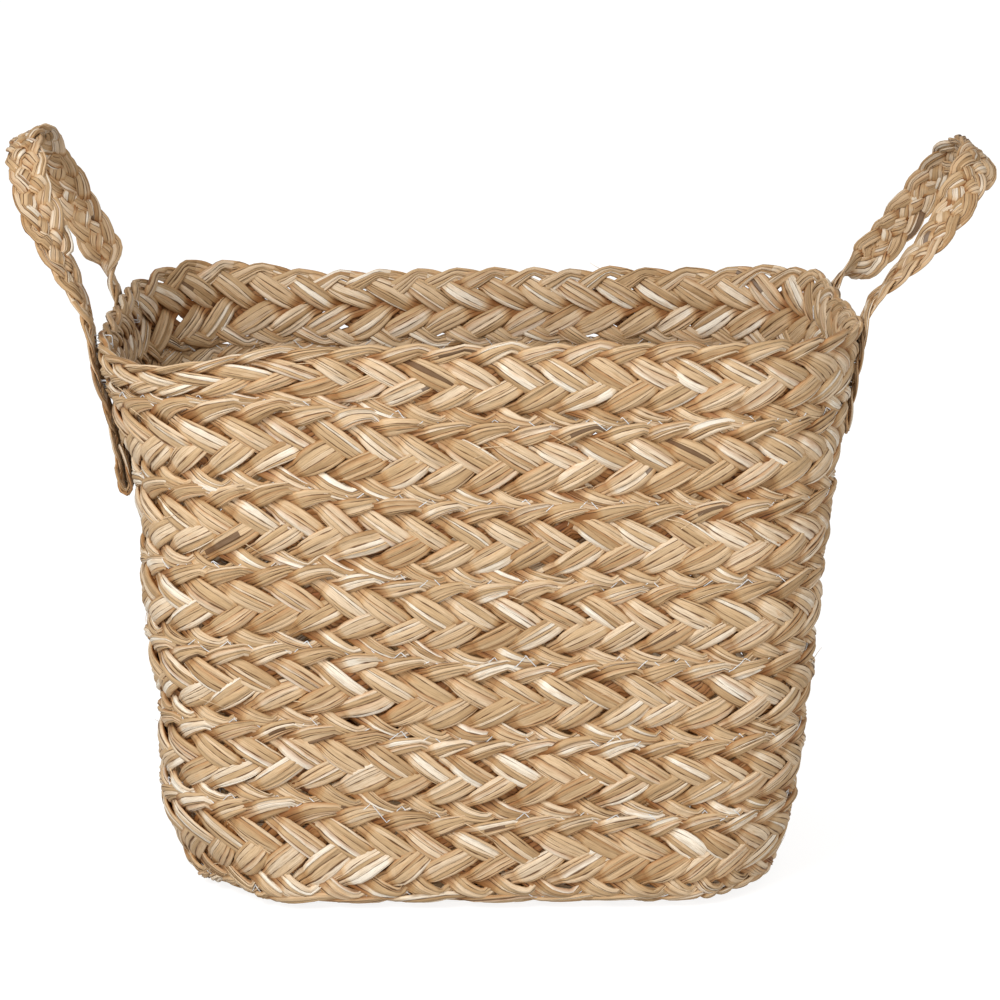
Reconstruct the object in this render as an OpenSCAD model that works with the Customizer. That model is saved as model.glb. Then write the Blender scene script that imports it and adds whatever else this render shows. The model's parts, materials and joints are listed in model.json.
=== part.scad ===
// Rectangular storage basket coiled from one flat seagrass plait, with two soft loop handles.
// The plait starts as a straight core in the base, winds outwards twice, turns up over a
// rounded foot and climbs the wall in seven courses. Sewing thread joins each turn to the next.
// Origin: centre of the underside. +X points to the right handle, +Y to the back, +Z up.

/* [Basket] */
// Outside width at the rim, along X
rim_w = 350; // [335:1:380]
// Outside depth at the rim, along Y
rim_d = 242; // [228:1:270]
// Outside width that the wall would have at the floor
base_w = 298; // [288:1:310]
// Height of the rim above the floor
height = 270; // [262:1:290]
// Outside radius of the corners at the rim
rim_corner_r = 68; // [64:1:74]
// Outside radius of the rounded foot
foot_r = 23; // [20:1:26]
// Share of the wall's flare that grows with the square of the height
flare_curve = 0.65; // [0:0.05:0.8]

/* [Plait] */
// Width of one course of the wall, seam to seam
course_w = 37.4; // [35:0.1:38]
// Thickness of the plait along its middle
plait_t = 7; // [5:0.5:8]
// Thickness of the plait at its edges
edge_t = 3.4; // [2.5:0.1:4]
// Number of courses in the wall
courses = 7; // [7]
// Diameter of the sewing thread
thread_d = 1.4; // [1.2:0.1:1.6]
// Gap between neighbouring turns, which the thread bridges
seam_gap = 1; // [0.8:0.1:1]

/* [Handles] */
// Width of the handle plait
strap_w = 20; // [16:1:24]
// Thickness of the handle plait
strap_t = 6; // [5:0.5:7]
// Distance between the middles of a handle's two legs
leg_span = 100; // [80:1:104]
// Height of the loop's middle line above its hinge line
loop_h = 81; // [60:1:90]
// Outward lean of the left loop at rest, in degrees
left_lean = 25; // [10:1:40]
// Outward lean of the right loop at rest, in degrees
right_lean = 40; // [10:1:50]
// Height of the hinge line above the rim
hinge_rise = 6; // [5:0.5:10]
// Height of the left handle's sewn ends above the floor
left_tail_end = 188; // [180:1:215]
// Height of the right handle's sewn ends above the floor
right_tail_end = 212; // [180:1:215]
// Thickness of a tail's lower end, where the plait is folded back
fold_t = 10; // [8:0.5:12]

/* [Hidden] */

straw = [0.82, 0.70, 0.51];
straw_dark = [0.74, 0.61, 0.42];
nylon = [0.88, 0.88, 0.86];

// The four corners turn about these fixed lines, and only their radius grows with height
flare = (rim_w - base_w) / 2;
corner_x = rim_w / 2 - rim_corner_r;
corner_y = rim_d / 2 - rim_corner_r;
base_corner_r = rim_corner_r - flare;
mid_foot_r = foot_r - plait_t / 2;
foot_run = mid_foot_r * PI / 2;
rim_run = foot_run + height - foot_r;
first_seam_run = rim_run - courses * course_w;
base_turn_w = (corner_y + wall_r(foot_r) - foot_r + first_seam_run - course_w / 2) / 2;
core_corner_r = 6;
core_corner_x = corner_x + wall_r(foot_r) - foot_r + first_seam_run - 2 * base_turn_w - core_corner_r;
core_corner_y = course_w / 2 - core_corner_r;
section_steps = 8;

// The hinge line of each loop runs along Y in the middle of the strap's thickness
strap_gap = 0.6;
hinge_x = rim_w / 2 + strap_gap + strap_t / 2;
hinge_z = height + hinge_rise;
hinge_gap = 0.3;
max_fold = 150;
twist_start = 5;
arch_power = 2.8;
loop_rings = 56;
ring_points = 12;
tail_steps = 4;
fold_h = 22;
stitch_span = 11;
stitch_z = [height - 9, height - 31];

// Outside radius of the corners at a height z
function wall_r(z) =
    let (s = z / height)
    base_corner_r + flare * ((1 - flare_curve) * s + flare_curve * s * s);

// Middle line of the wall's section: [distance from the corner line, height].
// The run is zero where the flat base starts to turn up, and grows to the rim.
function mid_point(run) =
    let (start = wall_r(foot_r) - foot_r, turn = run / mid_foot_r * 180 / PI)
    run < 0 ? [start + run, plait_t / 2]
    : run < foot_run ? [start + mid_foot_r * sin(turn), foot_r - mid_foot_r * cos(turn)]
    : let (z = foot_r + run - foot_run) [wall_r(z) - plait_t / 2, z];

// Outward direction across the section at a run
function mid_normal(run) =
    let (turn = min(max(run / mid_foot_r * 180 / PI, 0), 90))
    [sin(turn), -cos(turn)];

// Half the plait's thickness at a share t of its width; a plain side keeps its full thickness
function half_t(t, plain_start) =
    let (bulge = plain_start && t < 0.5 ? 1 : pow(max(sin(180 * t), 0), 0.6))
    edge_t / 2 + (plait_t - edge_t) / 2 * bulge;

// Closed section of one turn between two runs
function turn_section(from, to, plain_start = false) =
    let (side = [for (i = [0 : section_steps])
        let (t = i / section_steps, run = from + (to - from) * t)
        [mid_point(run), mid_normal(run) * half_t(t, plain_start)]])
    concat(
        [for (p = side) p[0] + p[1]],
        [for (i = [section_steps : -1 : 0]) side[i][0] - side[i][1]]
    );

// Carries a section round the rounded rectangle: four straight sides and four quarter turns
module around(corner_x, corner_y) {
    for (side = [0 : 3])
        rotate([0, 0, side * 90]) {
            half = side % 2 == 0 ? corner_y : corner_x;
            out = side % 2 == 0 ? corner_x : corner_y;
            translate([out, half, 0])
                rotate_extrude(angle = 90, $fn = 96) children();
            translate([out, half, 0])
                rotate([90, 0, 0])
                linear_extrude(2 * half) children();
        }
}

// Flat rounded rectangle
module rounded_plate(corner_x, corner_y, r, t) {
    linear_extrude(t) {
        square([2 * (corner_x + r), 2 * corner_y], center = true);
        square([2 * corner_x, 2 * (corner_y + r)], center = true);
        for (x = [-corner_x, corner_x], y = [-corner_y, corner_y])
            translate([x, y]) circle(r, $fn = 96);
    }
}

module base_core() {
    color(straw_dark)
        rounded_plate(core_corner_x, core_corner_y, core_corner_r - seam_gap / 2, plait_t);
}

module base_turn_1() {
    color(straw)
        difference() {
            rounded_plate(core_corner_x, core_corner_y,
                core_corner_r + base_turn_w - seam_gap / 2, plait_t);
            translate([0, 0, -1])
                rounded_plate(core_corner_x, core_corner_y,
                    core_corner_r + seam_gap / 2, plait_t + 2);
        }
}

// The second turn starts flat and ends part of the way up the foot
module base_turn_2() {
    flat_r = mid_point(0)[0];
    rise = turn_section(0, first_seam_run - seam_gap / 2, true);
    color(straw_dark)
        difference() {
            union() {
                around(corner_x, corner_y) polygon(rise);
                rounded_plate(corner_x, corner_y, flat_r, plait_t);
            }
            translate([0, 0, -1])
                rounded_plate(core_corner_x, core_corner_y,
                    core_corner_r + base_turn_w + seam_gap / 2, plait_t + 2);
        }
}

module wall_course(number) {
    from = first_seam_run + (number - 1) * course_w + seam_gap / 2;
    to = first_seam_run + number * course_w - (number == courses ? 0 : seam_gap / 2);
    color(number % 2 == 0 ? straw_dark : straw)
        around(corner_x, corner_y) polygon(turn_section(from, to));
}

// Thread in the seam above a course; number 0 is the seam below the first course
module wall_seam(number) {
    color(nylon)
        around(corner_x, corner_y)
            translate(mid_point(first_seam_run + number * course_w))
                circle(d = thread_d, $fn = 24);
}

// Thread between two turns of the flat base, at a radius about the core's corners
module base_seam(r) {
    color(nylon)
        around(core_corner_x, core_corner_y)
            translate([r, plait_t / 2]) circle(d = thread_d, $fn = 24);
}

// Loop middle line in its own plane: [across, up], from the front leg to the back leg
function arch_point(turn) =
    let (c = cos(turn), s = max(sin(turn), 0))
    [-leg_span / 2 * sign(c) * pow(abs(c), 2 / arch_power), loop_h * pow(s, 2 / arch_power)];

// Quarter twist of the strap between its legs and its top, by the height above the hinge line
function strap_twist(up) =
    let (q = min(max((up - twist_start) / (loop_h - twist_start), 0), 1))
    90 * q * q * (3 - 2 * q);

// One ring of the strap: its centre, its direction in the loop's plane, and its thickness
function strap_ring(centre, along, thickness) =
    let (twist = strap_twist(centre[1]), normal = [-along[1], along[0]])
    [for (i = [0 : ring_points - 1])
        let (turn = 360 * (i + 0.5) / ring_points,
             wide = strap_w / 2 * sign(cos(turn)) * pow(abs(cos(turn)), 0.5),
             thick = thickness / 2 * sign(sin(turn)) * pow(abs(sin(turn)), 0.7),
             out = wide * sin(twist) + thick * cos(twist),
             across = wide * cos(twist) - thick * sin(twist))
        [out, centre[0] + across * normal[0], centre[1] + across * normal[1]]];

// The loop's rings: a rounded root at each leg and the arch between them
function loop_points() =
    let (root = [0.95, 0.7, 0.35],
         front = [for (k = root) strap_ring([-leg_span / 2, -k * strap_t / 2], [0, 1],
             strap_t * sqrt(1 - k * k))],
         back = [for (i = [2 : -1 : 0]) strap_ring([leg_span / 2, -root[i] * strap_t / 2],
             [0, -1], strap_t * sqrt(1 - root[i] * root[i]))],
         arch = [for (i = [0 : loop_rings])
             let (turn = 180 * i / loop_rings,
                  a = arch_point(max(turn - 1, 0)),
                  b = arch_point(min(turn + 1, 180)),
                  along = (b - a) / norm(b - a))
             strap_ring(arch_point(turn), i == 0 ? [0, 1] : i == loop_rings ? [0, -1] : along,
                 strap_t)])
    concat(front, arch, back);

module handle_loop(side, lean) {
    rings = loop_points();
    last = len(rings) - 1;
    n = ring_points;
    points = [for (ring = rings) each ring];
    walls = [for (i = [0 : last - 1], j = [0 : n - 1])
        each [
            [i * n + j, (i + 1) * n + j, i * n + (j + 1) % n],
            [i * n + (j + 1) % n, (i + 1) * n + j, (i + 1) * n + (j + 1) % n]
        ]];
    first_cap = [for (j = [0 : n - 1]) j];
    last_cap = [for (j = [n - 1 : -1 : 0]) last * n + j];
    color(straw)
        rotate([0, 0, side > 0 ? 0 : 180])
        translate([hinge_x, 0, hinge_z])
        rotate([0, lean, 0])
        polyhedron(points, concat(walls, [first_cap, last_cap]), convexity = 6);
}

// Section of a tail: a neck that leaves the loop free to fold, the flat tail along the wall,
// and the lower end, thicker and rounded, where the plait is folded back behind itself
function tail_section(end_z) =
    let (top = hinge_z - strap_t / 2 - hinge_gap,
         neck = strap_t / 2 / tan((180 - max_fold) / 2) + hinge_gap,
         wall_zs = [for (i = [0 : tail_steps])
             end_z + (height - end_z) * i / tail_steps],
         end_r = fold_t / 2,
         end_x = wall_x(end_z) + end_r)
    concat(
        [for (z = wall_zs) if (z > end_z + end_r) [wall_x(z), z]],
        [[wall_x(height), top], [wall_x(height) + strap_t * 0.2, top]],
        [[wall_x(height) + strap_t, hinge_z - neck]],
        [[wall_x(end_z + fold_h) + strap_t, end_z + fold_h]],
        [for (turn = [0 : -15 : -180])
            [end_x + end_r * cos(turn), end_z + end_r + end_r * sin(turn)]]
    );

// Place of a tail's inner face at a height, just clear of the end wall
function wall_x(z) = corner_x + wall_r(z) + strap_gap;

module handle_tail(side, leg, end_z) {
    color(straw_dark)
        rotate([0, 0, side > 0 ? 0 : 180])
        translate([0, side * leg * leg_span / 2 + strap_w / 2, 0])
        rotate([90, 0, 0])
        linear_extrude(strap_w) polygon(tail_section(end_z));
}

// One flat loop of thread through tail and wall, with a bar on each face
module staple(z) {
    outer = wall_x(z) + strap_t + thread_d / 2;
    inner = corner_x + wall_r(z) - plait_t - thread_d / 2;
    translate([inner, -stitch_span / 2, z])
        linear_extrude(thread_d)
        difference() {
            square([outer - inner, stitch_span]);
            translate([thread_d, thread_d])
                square([outer - inner - 2 * thread_d, stitch_span - 2 * thread_d]);
        }
}

module handle_stitches(side, leg) {
    color(nylon)
        rotate([0, 0, side > 0 ? 0 : 180])
        translate([0, side * leg * leg_span / 2, 0])
        for (z = stitch_z) staple(z);
}

base_core();
base_turn_1();
base_turn_2();
wall_course(1);  // wall_course_1
wall_course(2);  // wall_course_2
wall_course(3);  // wall_course_3
wall_course(4);  // wall_course_4
wall_course(5);  // wall_course_5
wall_course(6);  // wall_course_6
wall_course(7);  // wall_course_7
base_seam(core_corner_r);  // base_seam_1
base_seam(core_corner_r + base_turn_w);  // base_seam_2
wall_seam(0);  // foot_seam
wall_seam(1);  // wall_seam_1
wall_seam(2);  // wall_seam_2
wall_seam(3);  // wall_seam_3
wall_seam(4);  // wall_seam_4
wall_seam(5);  // wall_seam_5
wall_seam(6);  // wall_seam_6
handle_loop(-1, left_lean);  // handle_left_loop
handle_loop(1, right_lean);  // handle_right_loop
handle_tail(-1, -1, left_tail_end);  // handle_left_front_tail
handle_tail(-1, 1, left_tail_end);  // handle_left_back_tail
handle_tail(1, -1, right_tail_end);  // handle_right_front_tail
handle_tail(1, 1, right_tail_end);  // handle_right_back_tail
handle_stitches(-1, -1);  // handle_left_front_stitches
handle_stitches(-1, 1);  // handle_left_back_stitches
handle_stitches(1, -1);  // handle_right_front_stitches
handle_stitches(1, 1);  // handle_right_back_stitches
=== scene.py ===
"""Looks of a rectangular basket coiled from a flat seagrass plait, with two plaited handles.

Every turn of the plait is real interlaced strands. A strand is laid out flat first, in plait
coordinates (u along the plait, v across it, w out of its face), and a layout function then
carries those points onto the basket: round a course of the wall, round the base, or along a
handle's strap. All lengths are in metres.
"""
import json
import math

import bpy
import numpy as np
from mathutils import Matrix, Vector


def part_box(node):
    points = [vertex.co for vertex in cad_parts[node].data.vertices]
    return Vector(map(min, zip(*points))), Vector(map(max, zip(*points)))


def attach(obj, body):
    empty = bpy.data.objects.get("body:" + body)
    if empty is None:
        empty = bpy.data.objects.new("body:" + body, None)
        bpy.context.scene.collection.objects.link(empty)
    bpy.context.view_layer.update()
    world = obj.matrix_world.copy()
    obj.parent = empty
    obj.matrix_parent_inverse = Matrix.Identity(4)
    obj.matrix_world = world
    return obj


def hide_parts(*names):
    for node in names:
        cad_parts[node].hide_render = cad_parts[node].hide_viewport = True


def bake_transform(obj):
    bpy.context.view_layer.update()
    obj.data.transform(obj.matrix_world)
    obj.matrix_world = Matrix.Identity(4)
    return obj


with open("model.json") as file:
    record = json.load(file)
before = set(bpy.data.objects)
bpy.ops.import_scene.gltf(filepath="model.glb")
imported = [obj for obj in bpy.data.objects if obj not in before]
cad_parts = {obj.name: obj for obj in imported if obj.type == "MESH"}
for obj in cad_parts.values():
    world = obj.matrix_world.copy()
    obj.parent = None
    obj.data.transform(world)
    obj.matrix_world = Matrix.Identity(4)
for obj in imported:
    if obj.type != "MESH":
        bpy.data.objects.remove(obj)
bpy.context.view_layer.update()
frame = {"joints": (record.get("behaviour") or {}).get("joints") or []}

# ---------------------------------------------------------------- sizes, from the frame
MM = 0.001
THREAD_R = 0.7 * MM                                # radius of the CAD model's seam rings
PLAIT_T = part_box("base_core")[1].z                 # thickness of the plait
RIM_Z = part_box("wall_course_7")[1].z
RIM_HALF_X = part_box("wall_course_7")[1].x
FOOT_R = 23 * MM                                   # outside radius of the rounded foot
CORNER_X, CORNER_Y = 107 * MM, 53 * MM             # the lines that the four corners turn about
COURSE_W = 37.4 * MM                               # width of one course, seam to seam
COURSES = 7
MID_FOOT_R = FOOT_R - PLAIT_T / 2
FOOT_RUN = MID_FOOT_R * math.pi / 2
RIM_RUN = FOOT_RUN + RIM_Z - FOOT_R
FIRST_RUN = RIM_RUN - COURSES * COURSE_W           # run of the seam below the first course


def seam_half_x(node):
    """Half the width of a seam ring's middle line."""
    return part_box(node)[1].x - THREAD_R


# Radius of the wall's middle surface about the corner lines, at a few heights
WALL_Z = [FOOT_R] + [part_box(f"wall_seam_{i}")[1].z - THREAD_R for i in range(1, COURSES)] + [RIM_Z]
WALL_R = [seam_half_x(f"wall_seam_{i}") - CORNER_X for i in range(1, COURSES)]
WALL_R = [WALL_R[0] - 1.1 * MM] + WALL_R + [RIM_HALF_X - CORNER_X - 3.0 * MM]
FOOT_START = WALL_R[0] - MID_FOOT_R                # radius at which the flat base turns up

# Base turns: the core's corners, and the width of a turn
CORE_HALF_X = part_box("base_core")[1].x + 0.5 * MM
CORE_HALF_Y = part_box("base_core")[1].y + 0.5 * MM
CORE_R = 6 * MM
CORE_X, CORE_Y = CORE_HALF_X - CORE_R, CORE_HALF_Y - CORE_R
BASE_TURN_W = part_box("base_turn_1")[1].y + 0.5 * MM - CORE_HALF_Y

# Handles
HINGE_X, HINGE_Z = frame["joints"][1]["pos_m"][0], frame["joints"][1]["pos_m"][2]
LEAN = {"left": math.radians(25), "right": math.radians(40)}
LOOP_H = {"left": 79 * MM, "right": 86 * MM}       # along the loop's own plane
LEG_SPAN = 100 * MM                                # between the middle lines of the legs
ARCH_POWER = 2.8                                   # 2 is an ellipse, higher is squarer
ARCH_COUNT = 160
LOOP_SHIFT = {"left": 2.0 * MM, "right": -2.6 * MM}  # of the whole loop, outward
TWIST = {"left": 0.9, "right": 1.5}                # power of the legs' twist, higher is later
BACK_TWIST_RISE = 16 * MM                          # height at which a back leg is fully twisted
CURL = {"left": -4 * MM, "right": 0}               # how far the top stands out of the plane
BOW = {"left": 0, "right": 3 * MM}                 # how far the middle of the legs does
BACK_SHIFT = {"left": -3 * MM, "right": 5 * MM}    # how far a back leg alone does, low down
BACK_SHIFT_RISE = 12 * MM                          # height at which that shift is full
TAIL_SUNK = 0.8 * MM                               # how far a tail is pressed into the wall
TAIL_T = {"left": 3.7 * MM, "right": 3.0 * MM}     # thickness of one layer of a tail
PATH_STEP = 1 * MM
TAIL_END_Z = {side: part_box(f"handle_{side}_front_tail")[0].z for side in ("left", "right")}
TAIL_L = {side: HINGE_Z - TAIL_END_Z[side] for side in ("left", "right")}


# ---------------------------------------------------------------- small helpers
def smoothstep(t):
    t = np.clip(t, 0, 1)
    return t * t * (3 - 2 * t)


def unit(v):
    return v / np.linalg.norm(v, axis=-1, keepdims=True)


def bell(value, centre, width):
    """A smooth hump that is 1 at the centre."""
    return np.exp(-((value - centre) / width) ** 2)


def wavy(rng, count, spacing, size, closed):
    """A random line of count values: one knot every spacing values.

    It runs smoothly round a closed line. Along an open one it jumps at each knot, and most so
    towards its end.
    """
    knots = max(4, round(count / spacing))
    values = rng.normal(0, size, knots)
    at = np.arange(count) / count * knots
    i = np.floor(at).astype(int)
    t = smoothstep(at - i)
    if not closed:
        at, i = at * (knots - 1) / knots, np.minimum(i, knots - 2)
        t = smoothstep(at - i)
    return values[i % knots] * (1 - t) + values[(i + 1) % knots] * t


# ---------------------------------------------------------------- the plait, laid out flat
class Plait:
    """How a flat plait is woven, and the size of its strands.

    A strand crosses the plait in as many steps as there are strands, swings round at the edge
    to the back, and crosses again the other way. lift says, step by step from edge to edge,
    whether it lies in front (1) or behind (-1). front and back list the steps of a crossing at
    which that face of the strand is covered by other strands.
    """

    def __init__(self, lift, front, back, pitch, reach, strand_w, strand_t, blades,
                 squeeze):
        self.lift, self.front, self.back = np.array(lift, float), front, back
        self.strands = len(lift) - 1
        self.pitch, self.reach = pitch, reach
        self.strand_w, self.strand_t = strand_w, strand_t
        self.blades, self.squeeze = blades, squeeze
        self.steps = np.linspace(0, self.strands, 701)
        ease = 1 - 0.65 * smoothstep((self.steps - self.strands + 2.0) / 2.0)
        ease = ease * (0.1 + 0.9 * smoothstep((self.steps + 0.15) / 0.6))
        crossed = np.concatenate([[0], np.cumsum((ease[1:] + ease[:-1]) / 2)])
        self.crossed = crossed / crossed[-1] * 2 * reach
        rise = np.gradient(self.crossed, self.steps).max()
        self.slope = math.atan(rise / (pitch / 2))
        self.step = pitch / 2 / math.cos(self.slope)


WALL_PLAIT = Plait(lift=[-1, -1, 1, 1, -1, -1, 1, 1], front=[0.9, 4.5], back=[2.5, 6.3],
                   pitch=19.6 * MM, reach=18.1 * MM, strand_w=11.5 * MM, strand_t=3.0 * MM,
                   blades=5, squeeze=0.48)
STRAP_PLAIT = Plait(lift=[-1, -1, 1, -1, 1, 1], front=[0.9, 3.0], back=[2.0, 4.3],
                    pitch=13.2 * MM, reach=6.9 * MM, strand_w=9.0 * MM, strand_t=2.1 * MM,
                    blades=5, squeeze=0.3)
RINGS_PER_STEP = 4


def lift_at(plait, x):
    """Height of a strand at step x of one crossing, from -1 behind to 1 in front."""
    x = np.clip(x, 0, plait.strands)
    i = np.minimum(np.floor(x).astype(int), plait.strands - 1)
    t = x - i
    a, b = plait.lift[i], plait.lift[i + 1]
    crown = np.where(a == b, 0.3 * a * np.sin(np.pi * t), 0)
    return a + (b - a) * smoothstep(t) + crown


def covered_stretch(plait, x, covered):
    """Number of the stretch between covered steps that each x lies in, and how far along it."""
    turn = np.floor((x - covered[0]) / plait.strands)
    rest = x - covered[0] - turn * plait.strands
    late = rest >= covered[1] - covered[0]
    return (2 * turn + late).astype(int), rest - late * (covered[1] - covered[0])


def middle_line(plait, x):
    """Place of a strand's middle line along and across the plait at step x."""
    crossing = np.floor(x / plait.strands)
    down = np.interp(x - crossing * plait.strands, plait.steps, plait.crossed)
    side = np.where(crossing % 2 == 0, 1, -1)
    return x * plait.pitch / 2, side * (plait.reach - down)


def middle_surface(plait, x, t, roll):
    """Middle of the strand's thickness at step x and distance t off its own middle line."""
    n = plait.strands
    u, v = middle_line(plait, x)
    near = 0.22
    before, after = middle_line(plait, x - near), middle_line(plait, x + near)
    slope = np.arctan2(after[1] - before[1], after[0] - before[0])
    u, v = u - t * np.sin(slope), v + t * np.cos(slope)
    skew = np.sin(slope) / math.sin(plait.slope) / math.tan(2 * plait.slope) / plait.step
    crossing = x + t * skew
    turn = np.round(x / n)
    arriving = lift_at(plait, crossing - n * (turn - 1))
    leaving = lift_at(plait, crossing - n * turn)
    s = smoothstep((x - n * turn + 0.25) / 0.95)
    low_edge = 1 - 0.35 * bell(x, n * turn, 1.1)
    w = (arriving * (1 - s) + leaving * s) * low_edge * plait.strand_t / 2
    return np.stack([u + 0 * w, v, w + t * np.sin(roll)], -1)


def blade_lines(plait, rng, stretch, local, total):
    """Where the blades of one face begin and end across it, for every ring, from -1 to 1."""
    share = rng.uniform(0.2, 1.0, (total, plait.blades)) ** 1.4 + 0.12
    edges = np.concatenate([np.zeros((total, 1)), np.cumsum(share, 1)], 1)
    edges = edges / edges[:, -1:] * 2 - 1
    drift = rng.normal(0, 0.06, (total, plait.blades + 1))
    lines = edges[stretch] + drift[stretch] * (local - 2)[:, None]
    lines = np.clip(lines, -0.96, 0.96)
    lines[:, 0], lines[:, -1] = -1, 1
    gaps = np.maximum(np.diff(lines, axis=1), 0.05)
    lines = np.concatenate([np.zeros((len(gaps), 1)), np.cumsum(gaps, 1)], 1)
    return lines / lines[:, -1:] * 2 - 1


def blade_points(plait, rng, stretch, local, total, swell):
    """Points across one face: three to a blade. Returns place, blade coordinate and relief."""
    stretch = stretch % total
    lines = blade_lines(plait, rng, stretch, local, total)
    low, width = lines[:, :-1, None], np.diff(lines, axis=1)[:, :, None]
    inside = np.array([0.09, 0.5, 0.91])
    rings = len(stretch)
    a = (low + width * inside).reshape(rings, -1)
    q = np.tile((np.arange(plait.blades)[:, None] + inside).ravel(), (rings, 1))
    level = rng.normal(0, 0.2 * MM, (total, plait.blades, 1))
    tilt = rng.uniform(-0.42, 0.42, (total, plait.blades, 1)) * MM
    dip = rng.uniform(0.1, 1.0, (total, plait.blades, 2)) ** 2 * 0.7 * MM
    dome = np.full((total, plait.blades, 1), 0.1 * MM)
    relief = level + np.concatenate([-dip[..., :1] - tilt, dome, tilt - dip[..., 1:]], 2)
    relief = relief.reshape(total, -1)[stretch] * (0.45 + 0.55 * swell[:, None])
    return a, q, relief, stretch


def flat_strand(plait, rng, x, closed):
    """One strand over the steps x: points (ring, point, 3), and its attributes."""
    n, period = len(x), plait.strands
    scale = plait.strand_w / (10 * MM)
    to_fold = np.abs((x / period + 0.5) % 1 - 0.5) * period
    near_fold = bell(to_fold, 0, 1.25)
    swell = np.abs(lift_at(plait, x % period)) / 1.4
    half = plait.strand_w / 2 * (0.82 + 0.2 * swell) * (1 - plait.squeeze * near_fold)
    half = half * (1 + wavy(rng, n, 9, 0.08, closed))
    wander = wavy(rng, n, 9, 0.75 * MM, closed) * scale
    drag = wavy(rng, n, 11, 0.8 * MM, closed) * scale
    roll = np.radians(3) + wavy(rng, n, 8, np.radians(5), closed)
    heave = wavy(rng, n, 7, 0.3 * MM, closed) * scale

    first, first_local = covered_stretch(plait, x, plait.front)
    second, second_local = covered_stretch(plait, x, plait.back)
    if closed:
        total = 2 * round((x[-1] - x[0] + 1 / RINGS_PER_STEP) / period)
    else:
        first, second = first - first.min(), second - second.min()
        total = max(first.max(), second.max()) + 1
    faces = []
    for side, stretch, local in ((1, first, first_local), (-1, second, second_local)):
        a, q, relief, stretch = blade_points(plait, rng, stretch, local, total, swell)
        mid = middle_surface(plait, x[:, None], a * half[:, None] + wander[:, None], roll[:, None])
        mid[..., 0] += drag[:, None]
        mid[..., 2] += heave[:, None]
        along = np.roll(mid, -1, 0) - np.roll(mid, 1, 0)
        along[0], along[-1] = along[1], along[-2]
        out = unit(np.cross(along, np.gradient(mid, axis=1)))
        hull = (1 - np.abs(a) ** 3.4) ** (1 / 2)
        body = plait.strand_t / 2 * hull * (0.85 + 0.15 * swell)[:, None]
        thick = np.maximum(body + relief * np.sqrt(hull) * scale, 0.12 * MM)
        # How openly each face lies: faces tucked behind other strands, and a strand's edges, score low,
        # and the material paints shade there.
        proud = smoothstep((side * lift_at(plait, x % period) + 0.5) / 1.5)
        proud = np.maximum(proud, 0.9 * near_fold)
        unshaded = proud[:, None] * (0.35 + 0.65 * np.sqrt(hull))
        faces.append((mid + out * side * thick[..., None], q, unshaded, stretch))
    points = np.concatenate([faces[0][0], faces[1][0][:, ::-1]], 1)
    q = np.concatenate([faces[0][1], faces[1][1][:, ::-1]], 1)
    # across below holds each point's unshaded share, which the material turns into painted shade.
    across = np.concatenate([faces[0][2], faces[1][2][:, ::-1]], 1)
    length = np.arange(n) * plait.step / RINGS_PER_STEP
    return points, length, q, across, faces[0][3], faces[1][3]


def tube_faces(rings, points, closed, offset):
    """Quads of a tube of rings, and for each the ring and the point it starts at."""
    i = np.arange(rings if closed else rings - 1)[:, None]
    j = np.arange(points)[None, :]
    i2, j2 = (i + 1) % rings, (j + 1) % points
    quads = np.stack([i * points + j, i2 * points + j + 0 * i,
                      i2 * points + j2, i * points + j2], -1).reshape(-1, 4)
    at_ring = np.repeat(i[:, 0], points)
    at_point = np.tile(j[0], len(i))
    return quads + offset, at_ring, at_point


class MeshData:
    """Vertices, faces and attributes of one piece, gathered strand by strand."""

    def __init__(self):
        self.points, self.quads, self.caps = [], [], []
        self.strand, self.key = [], []
        self.count = 0
        self.key_base = 0

    def add_strand(self, world, length, q, across, s_top, s_low, closed):
        rings, points = world.shape[:2]
        quads, ring, point = tube_faces(rings, points, closed, self.count)
        on_front = point < points // 2
        stretch = np.where(on_front, s_top[ring] * 2, s_low[ring] * 2 + 1)
        self.points.append(world.reshape(-1, 3))
        self.quads.append(quads)
        self.key.append(stretch + self.key_base)
        # Third entry: the unshaded share, from which the material paints shade.
        self.strand.append(np.stack([
            np.repeat(length, points), q.reshape(-1), across.reshape(-1)], -1))
        if not closed:
            self.caps.append(self.count + np.arange(points)[::-1])
            self.caps.append(self.count + (rings - 1) * points + np.arange(points))
        self.count += rings * points
        self.key_base += int(stretch.max()) + 3

    def build(self, name, material):
        quads = np.concatenate(self.quads)
        caps = [c.tolist() for c in self.caps]
        mesh = bpy.data.meshes.new(name)
        if caps:
            mesh.from_pydata(np.concatenate(self.points).tolist(), [], quads.tolist() + caps)
        else:
            fill_mesh(mesh, np.concatenate(self.points), quads)
        mesh.polygons.foreach_set("use_smooth", np.ones(len(mesh.polygons), bool))
        strand = mesh.attributes.new("strand", "FLOAT_VECTOR", "POINT")
        strand.data.foreach_set("vector", np.concatenate(self.strand).astype(np.float32).ravel())
        key = np.concatenate(self.key + [np.zeros(len(caps))])
        mesh.attributes.new("key", "FLOAT", "FACE").data.foreach_set("value", key.astype(np.float32))
        mesh.materials.append(material)
        mesh.update()
        obj = bpy.data.objects.new(name, mesh)
        bpy.context.scene.collection.objects.link(obj)
        return obj


def fill_mesh(mesh, points, quads):
    """Fills an empty mesh with points and quads, quickly."""
    mesh.vertices.add(len(points))
    mesh.vertices.foreach_set("co", points.astype(np.float32).ravel())
    mesh.loops.add(quads.size)
    mesh.loops.foreach_set("vertex_index", quads.astype(np.int32).ravel())
    mesh.polygons.add(len(quads))
    mesh.polygons.foreach_set("loop_start", np.arange(0, quads.size, 4, dtype=np.int32))
    mesh.update(calc_edges=True)


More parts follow.
